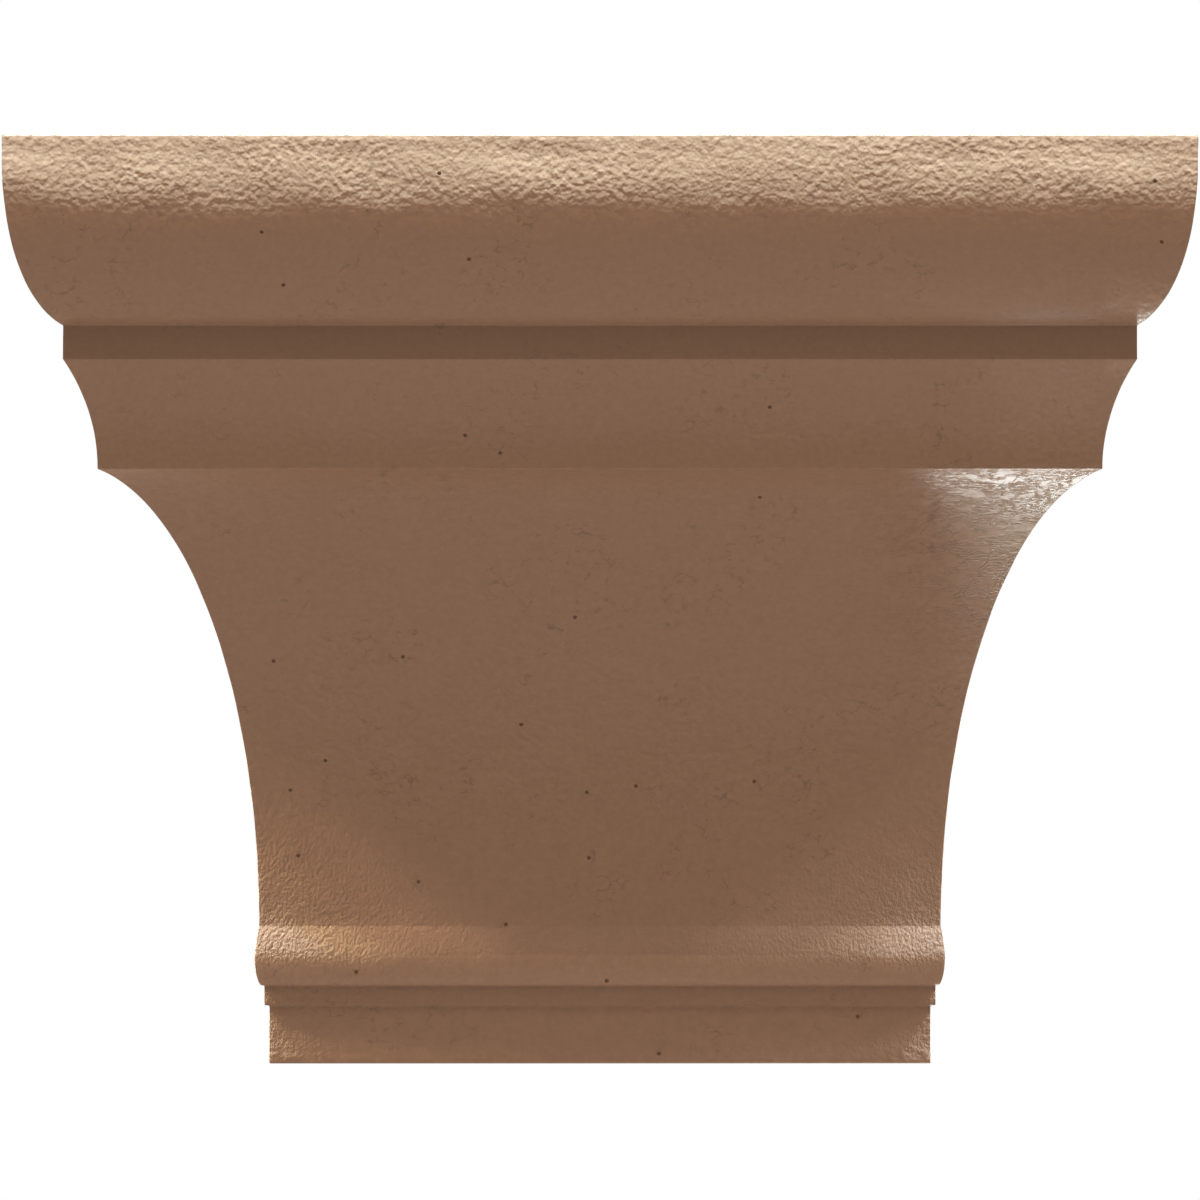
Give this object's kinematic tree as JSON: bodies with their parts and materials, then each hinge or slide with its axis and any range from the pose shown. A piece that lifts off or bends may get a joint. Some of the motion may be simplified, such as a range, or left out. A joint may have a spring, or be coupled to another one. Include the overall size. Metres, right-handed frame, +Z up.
{
  "type": "urethane corbel",
  "caption": "Wall corbel of stacked mouldings, a deep cove under a broad flat top, mitred round front and sides, with a flat back.",
  "frame": {"origin": "centre of the flat back face, in the wall's plane", "axes": "+Y into the wall, +Z up, +X to the right as seen from the room"},
  "size_m": [0.2286, 0.1778, 0.1778],
  "materials": {
    "primed_urethane": "tan primer coat over a pebbled cast skin, slightly glossy at a low angle"
  },
  "bodies": {
    "root": {"corbel_casting": "primed_urethane"}
  },
  "joints": []
}
